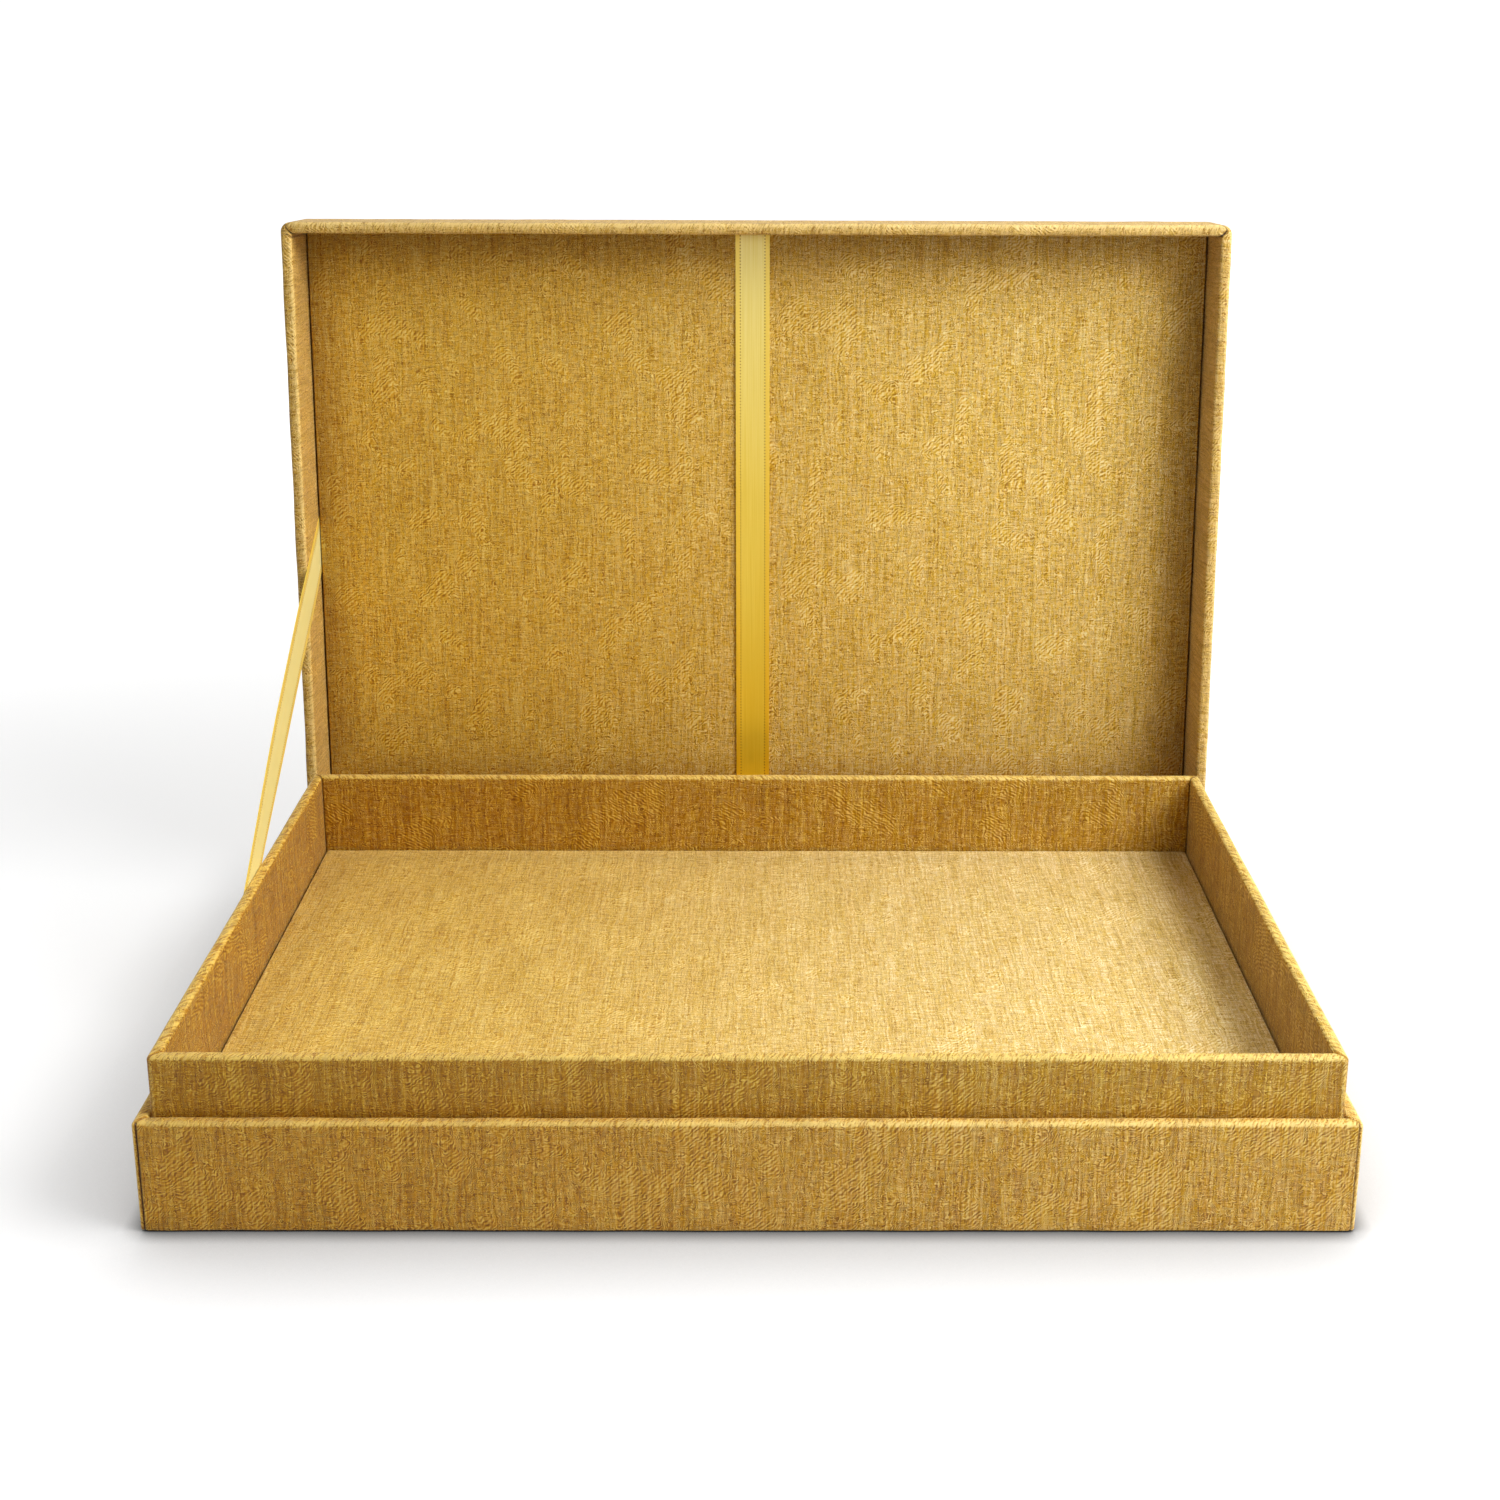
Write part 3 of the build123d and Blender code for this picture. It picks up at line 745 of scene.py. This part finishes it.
lining_cloth = slub_silk(
    "lining_cloth", tone(160, 108, 8), tone(225, 178, 62), tone(246, 222, 142), slub=0.8, crepe=1.05,
    hatch=0.4, crinkle=1.0, lean=-42, weft_share=0.62, relief_depth=0.27,
)
lining_back_face = lining_face + lining_thick
lining_middle = (lining_front + lining_back) / 2
lining_half_depth = (lining_back - lining_front) / 2
lining_section = rounded_path(
    [(panel_rings, lining_face), (0, lining_face), (0, lining_back_face), (turn_in, lining_back_face)],
    [1.0, 0.8], longest=6,
)
piece = ring_cloth(
    "lining_silk", lining_section, cloth, lining_half_width, lining_half_depth, lining_middle,
    lining_corner_round, lining_cloth, "first", 14, turn=swing, painted_shade=0.55,
)
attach(piece, "lid")
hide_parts("lining_cloth")


# ---------------------------------------------------------------------------
# Hinge: the spine cloth runs up the back of the base, round the hinge line and along the lid's back wall.
# The inner hinge cloth covers both back rims from inside. The lid swings on these two cloths alone.
# ---------------------------------------------------------------------------
hinge_half = 137.15
even_half, even_points = 130, 66
spine_under = 78
spine_bend = 28.19
# The inner cloth covers the base's rim as far back as hinge_step, and turns up to the lid at hinge_crook.
inner_back = base_half_depth - base_wall
hinge_step = 90.25
hinge_crook = 89.95


def strip_cloth(name, path, thick, across, finish, seed, flip=False, wave=0.0, lift=None):
    """A strip of cloth along a (depth, height) path, with its points across at the given x places."""
    places, outs, lengths = path
    outs = -outs if flip else outs
    x = np.array(across, float)
    face = np.stack([
        np.repeat(x[None, :], len(places), 0),
        np.repeat(places[:, :1], len(x), 1),
        np.repeat(places[:, 1:], len(x), 1),
    ], -1)
    normal = np.stack([
        np.zeros(face.shape[:2]), np.repeat(outs[:, :1], len(x), 1), np.repeat(outs[:, 1:], len(x), 1),
    ], -1)
    normal /= np.linalg.norm(normal, axis=2, keepdims=True)
    s, t = face[..., 0], np.repeat(lengths[:, None], len(x), 1)
    rise = wave * waves(s, t, seed)
    if lift is not None:
        rise = rise + lift
    face = face + normal * rise[..., None]
    return cloth_piece(name, face, normal, thick, s, t, finish, seed=seed)


def swung(y, z):
    return tuple(swing([0.0, y, z])[1:])


spine_section = rounded_path(
    [
        (spine_under, base_bottom), (base_half_depth, base_bottom), (base_half_depth, spine_bend),
        swung(base_half_depth, lid_seam),
    ],
    [0.8, 0.7], longest=2.0,
)
spine_thick = np.where(spine_section[0][:, 1] < base_bottom + 0.05, cloth_below, cloth)
near_end = np.array([0, 0.1, 0.25, 0.5, 1, 2, 4])
across = np.concatenate([
    -hinge_half + near_end, np.linspace(-even_half, even_half, even_points), hinge_half - near_end[::-1],
])
spine_dip = -0.12 * (1 - soft_step((hinge_half - np.abs(across)) / 0.4))
piece = strip_cloth(
    "spine_silk", spine_section, spine_thick, across, lid_silk, 15, flip=True, wave=0.05,
    lift=spine_dip[None, :],
)
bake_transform(piece)
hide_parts("spine_cloth")

hinge_cloth = slub_silk(
    "hinge_cloth", tone(120, 80, 18), tone(182, 134, 50), tone(224, 186, 104), crepe=0.6,
)
fold_rise = cloth * math.tan(-lid_open / 2)
hinge_section = rounded_path(
    [
        (inner_back, tray_floor), (inner_back, base_rim), (hinge_step, base_rim),
        swung(hinge_crook, hinge_z - fold_rise), swung(hinge_crook, lid_rim), swung(inner_back, lid_rim),
        swung(inner_back, lining_face),
    ],
    [0.5, 0.3, 0.3, 0.3, 0.5], longest=2.0, turns=3,
)
piece = strip_cloth("inner_hinge_silk", hinge_section, cloth, across, hinge_cloth, 16)
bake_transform(piece)
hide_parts("inner_hinge_cloth")


# ---------------------------------------------------------------------------
# Keeper ribbon: a yellow satin ribbon over the middle of the lining panel, its ends tucked behind the
# panel and glued. Invitations slide in under it. Woven selvedges show as a line of pin holes.
# ---------------------------------------------------------------------------
keeper_middle = -1.5
ribbon_width = 10.4
ribbon_thick = 0.25
keeper_tail = 14.0
selvedge_inset = 1.45
pin_pitch = 0.95
rib_pitch = 0.34


def satin(name, shade, pale, deep, metal, gleam, painted_sheen_span=None):
    """Satin ribbon: floating threads along it, fine ribs across, and a selvedge line near each edge.
    painted_sheen_span is the stretch of its length, counted as in its cloth mark, over which a painted sheen
    takes it from pale to deep."""
    finish, tree = new_finish(name)
    place = add(tree, "Attribute", {"attribute_name": "cloth"}).outputs["Vector"]
    split = add(tree, "SeparateXYZ", {}, {"Vector": place}).outputs
    along, from_middle = split[1], calc(tree, "ABSOLUTE", split[2])
    off_line = calc(tree, "SUBTRACT", from_middle, ribbon_width / 2 - selvedge_inset)
    line = between(tree, calc(tree, "ABSOLUTE", off_line), 1.0, 0.0, 0.08, 0.24)
    beat = calc(tree, "SINE", calc(tree, "MULTIPLY", along, 2 * math.pi / pin_pitch))
    holes = calc(tree, "MULTIPLY", line, between(tree, beat, 0.0, 1.0, -0.2, 0.7))
    selvedge = between(tree, off_line, 0.0, 1.0, -0.05, 0.2)
    silky = streaks(tree, place, 0.25, 40, detail=2.0, rough=0.5)
    dyed = mixed(tree, selvedge, ramp(tree, silky, (0.3, shade), (0.7, pale)), deep)
    dyed = mixed(tree, holes, dyed, tone(150, 104, 14))
    # Painted sheen: paler and whiter at one end of the span, deeper gold at the other.
    if painted_sheen_span:
        light = ramp(
            tree, between(tree, along, 0.0, 1.0, *painted_sheen_span),
            (0.0, (1.08, 1.23, 3.1, 1)), (0.45, (1.0, 0.98, 0.95, 1)), (1.0, (1.1, 1.0, 0.2, 1)),
        )
        dyed = mixed(tree, 1.0, dyed, light, "MULTIPLY")
    rib = calc(tree, "SINE", calc(tree, "MULTIPLY", along, 2 * math.pi / rib_pitch))
    height = calc(tree, "MULTIPLY_ADD", rib, 0.12, silky)
    height = calc(tree, "MULTIPLY_ADD", holes, -0.8, height)
    relief = add(tree, "Bump", {}, {"Strength": 0.35, "Distance": 0.0001, "Height": height})
    show(tree, add(tree, "BsdfPrincipled", {}, {
        "Base Color": dyed, "Metallic": metal, "Roughness": 0.32, "Specular IOR Level": 0.5,
        "Sheen Weight": gleam, "Sheen Roughness": 0.4, "Sheen Tint": tone(255, 240, 178),
        "Normal": relief.outputs["Normal"],
    }))
    return finish


keeper_satin = satin(
    "keeper_satin", tone(230, 198, 66), tone(238, 210, 90), tone(238, 198, 58), metal=0.4, gleam=0.15,
    painted_sheen_span=(2905.0, 3085.0),
)
clear = 0.02
keeper_face, keeper_behind = lining_face - clear, lining_back_face + clear
keeper_path = rounded_path(
    [
        (lining_front + keeper_tail, keeper_behind), (lining_front - clear, keeper_behind),
        (lining_front - clear, keeper_face), (lining_back + clear, keeper_face),
        (lining_back + clear, keeper_behind), (lining_back - keeper_tail, keeper_behind),
    ],
    [0.4, 0.9, 0.9, 0.4],
)
half = ribbon_width / 2
half_across = np.array([0.25, 0.5, 0.72, 0.8, 0.9, 0.97, 1])
ribbon_across = np.concatenate([-half_across[::-1], [0], half_across]) * half


def mark_across(piece, across, rows):
    """Adds how far each point of a ribbon lies from its middle to its cloth mark."""
    mark = piece.data.attributes["cloth"]
    values = np.zeros(len(mark.data) * 3, np.float32)
    mark.data.foreach_get("vector", values)
    values = values.reshape(-1, 3)
    values[:, 2] = np.tile(across, 2 * rows)
    mark.data.foreach_set("vector", values.ravel())


rows = len(keeper_path[0])
no_x = np.zeros((rows, 1))
open_keeper = (
    swing(np.hstack([no_x, keeper_path[0]]))[:, 1:],
    swing(np.hstack([no_x, keeper_path[1]]), True)[:, 1:],
    keeper_path[2],
)
on_face = np.clip((keeper_path[0][:, 0] - lining_front) / (lining_back - lining_front), 0, 1)
on_front = keeper_path[0][:, 1] < lining_face + 0.5
slack = np.where(on_front, 0.28 + 0.32 * np.sin(np.pi * on_face) ** 0.5, 0.27)
piece = strip_cloth(
    "keeper_ribbon_satin", open_keeper, ribbon_thick, keeper_middle + ribbon_across, keeper_satin, 17,
    flip=True, lift=slack[:, None] + 0.05 * (np.abs(ribbon_across / half)[None, :] > 0.75),
)
mark_across(piece, ribbon_across, rows)
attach(piece, "lid")
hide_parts("keeper_ribbon")


# ---------------------------------------------------------------------------
# Stay ribbon: pale satin on the left that stops the lid. Its upper end comes out between the lining
# panel and the lid's wall and is glued behind the panel, and its lower end goes down outside the neck.
# ---------------------------------------------------------------------------
stay_x = -136.65
stay_slack = 0.01
stay_rows = 70
stay_upper_edge = [
    (118.6, 119.4), (115.0, 117.2), (98.8, 107.6), (84.3, 99.6), (43.2, 73.3), (5.5, 44.7), (-34, 15.4),
]
stay_lower_edge = [
    (119.4, 103.6), (115.8, 101.5), (97.8, 89.4), (80.4, 79.4), (52.7, 61.9), (23.3, 43.9), (-16, 15.4),
]


def evenly(points, count):
    """Points at even steps along a smooth line through the given ones."""
    points = np.array(points, float)
    length = np.concatenate([[0], np.cumsum(np.linalg.norm(np.diff(points, axis=0), axis=1))])
    at = np.linspace(0, length[-1], count)
    line = np.column_stack([np.interp(at, length, points[:, k]) for k in range(2)])
    for _ in range(12):
        line[1:-1] = (line[:-2] + 2 * line[1:-1] + line[2:]) / 4
    return line


stay_satin = satin(
    "stay_satin", tone(255, 246, 156), tone(255, 250, 180), tone(250, 218, 84), metal=0.0, gleam=1.0,
)
upper, lower = evenly(stay_upper_edge, stay_rows), evenly(stay_lower_edge, stay_rows)
share = (ribbon_across / half + 1) / 2
line = lower[:, None, :] * (1 - share[None, :, None]) + upper[:, None, :] * share[None, :, None]
face = np.concatenate([np.full(line.shape[:2] + (1,), stay_x + ribbon_thick / 2 - stay_slack), line], -1)
normal = np.zeros_like(face)
normal[..., 0] = 1.0
stay_length = np.linalg.norm(np.diff(upper, axis=0), axis=1).sum()
t = np.repeat(np.linspace(0, stay_length, stay_rows)[:, None], len(share), 1)
s = np.repeat(ribbon_across[None, :], stay_rows, 0)
stay_thick = ribbon_thick - 2 * stay_slack
piece = cloth_piece("stay_ribbon_satin", face, normal, stay_thick, s, t, stay_satin, seed=18)
mark_across(piece, ribbon_across, stay_rows)
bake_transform(piece)
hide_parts("stay_ribbon")


# ---------------------------------------------------------------------------
# Studio: a white table that runs up into a white wall, a key lamp close on the right, a weaker one high on
# the left and one high behind. Near the box the table shows their light and shadow, with a painted contact
# shadow from ambient occlusion in its colour and glow, and further out it is evenly white.
# ---------------------------------------------------------------------------
table_front, table_half_width = -2.6, 4.5
sweep_start, sweep_round, sweep_steps = 2.2, 1.2, 12
wall_top = 5.0

table_white, tree = new_finish("table_white")
seen = add(tree, "LightPath").outputs
seen_plainly = calc(tree, "MAXIMUM", seen["Is Camera Ray"], seen["Is Glossy Ray"])
seen_plainly = calc(tree, "MAXIMUM", seen_plainly, seen["Is Transmission Ray"])
# Ambient occlusion darkens the table's colour and glow close to the box: a painted contact shadow.
open_round = add(tree, "AmbientOcclusion", {"samples": 12}, {"Distance": 0.05}).outputs["AO"]
open_close = add(tree, "AmbientOcclusion", {"samples": 12}, {"Distance": 0.005}).outputs["AO"]
painted_contact_shade = calc(tree, "MULTIPLY", open_round, calc(tree, "POWER", open_close, 1.4))
paper = add(tree, "BsdfDiffuse", {}, {"Color": (0.86, 0.86, 0.86, 1)})
paper_with_painted_shade = add(tree, "BsdfDiffuse", {}, {"Color": calc(tree, "MULTIPLY", painted_contact_shade, 0.5)})
from_box = add(tree, "VectorMath", {"operation": "LENGTH"}, {0: add(tree, "TexCoord").outputs["Object"]})
whiteness = between(tree, from_box.outputs["Value"], 0.62, 1.0, 0.28, 0.8, "SMOOTHSTEP")
glow = add(tree, "Emission", {}, {"Color": (1, 1, 1, 1), "Strength": calc(tree, "MULTIPLY", painted_contact_shade, whiteness)})
white = add(tree, "AddShader", {}, {0: paper_with_painted_shade.outputs[0], 1: glow.outputs[0]})
show(tree, add(tree, "MixShader", {}, {0: seen_plainly, 1: paper.outputs[0], 2: white.outputs[0]}))

sweep = [(table_front, 0.0)]
for k in range(sweep_steps + 1):
    a = math.pi / 2 * k / sweep_steps
    sweep.append((sweep_start + sweep_round * math.sin(a), sweep_round - sweep_round * math.cos(a)))
sweep.append((sweep_start + sweep_round, wall_top))
verts = [(x, y, z) for y, z in sweep for x in (-table_half_width, table_half_width)]
faces = [[2 * i, 2 * i + 1, 2 * i + 3, 2 * i + 2] for i in range(len(sweep) - 1)]
mesh = bpy.data.meshes.new("table")
mesh.from_pydata(verts, [], faces)
mesh.shade_smooth()
mesh.materials.append(table_white)
table = bpy.data.objects.new("table", mesh)
bpy.context.scene.collection.objects.link(table)

world = bpy.data.worlds.new("studio")
bpy.context.scene.world = world
world.use_nodes = True
tree = world.node_tree
seen = add(tree, "LightPath").outputs
seen_plainly = calc(tree, "MAXIMUM", seen["Is Camera Ray"], seen["Is Glossy Ray"])
room = tree.nodes["Background"]
room.inputs["Color"].default_value = (1, 1, 1, 1)
tree.links.new(between(tree, seen_plainly, 0.12, 1.0, 0.0, 1.0), room.inputs["Strength"])


def lamp(name, place, size, power):
    """A square lamp at a place in metres, turned to the middle of the box."""
    light = bpy.data.lights.new(name, "AREA")
    light.size, light.energy = size, power
    made = bpy.data.objects.new(name, light)
    made.location = place
    made.rotation_mode = "QUATERNION"
    made.rotation_quaternion = (Vector((0, 0, 0.08)) - Vector(place)).to_track_quat("-Z", "Y")
    bpy.context.scene.collection.objects.link(made)


lamp("key_lamp", (0.524, -0.191, 0.582), 0.5, 7.7)
lamp("fill_lamp", (-1.118, -0.299, 1.459), 0.7, 3.8)
lamp("back_lamp", (0.0, 0.761, 1.711), 0.7, 9.0)

camera_data = bpy.data.cameras.new("camera")
camera_data.sensor_width = 36.0
camera_data.lens = 49.01
camera_data.shift_x = -0.0266
camera_data.shift_y = -0.1225
camera_data.clip_start = 0.02
camera = bpy.data.objects.new("camera", camera_data)
bpy.context.scene.collection.objects.link(camera)
camera_place = (0.00636, -0.50255, 0.27527)
yaw, pitch, roll = math.radians(0.352), math.radians(15.69), math.radians(0.228)
ahead = np.array([math.sin(yaw) * math.cos(pitch), math.cos(yaw) * math.cos(pitch), -math.sin(pitch)])
right = np.array([math.cos(yaw), -math.sin(yaw), 0.0])
above = np.cross(right, ahead)
rolled_right = right * math.cos(roll) + above * math.sin(roll)
rolled_above = above * math.cos(roll) - right * math.sin(roll)
camera.matrix_world = Matrix([
    [*row, place] for *row, place in zip(rolled_right, rolled_above, -ahead, camera_place)
] + [[0, 0, 0, 1]])
bpy.context.scene.camera = camera
bpy.context.scene.view_settings.view_transform = "Standard"

bpy.context.view_layer.update()
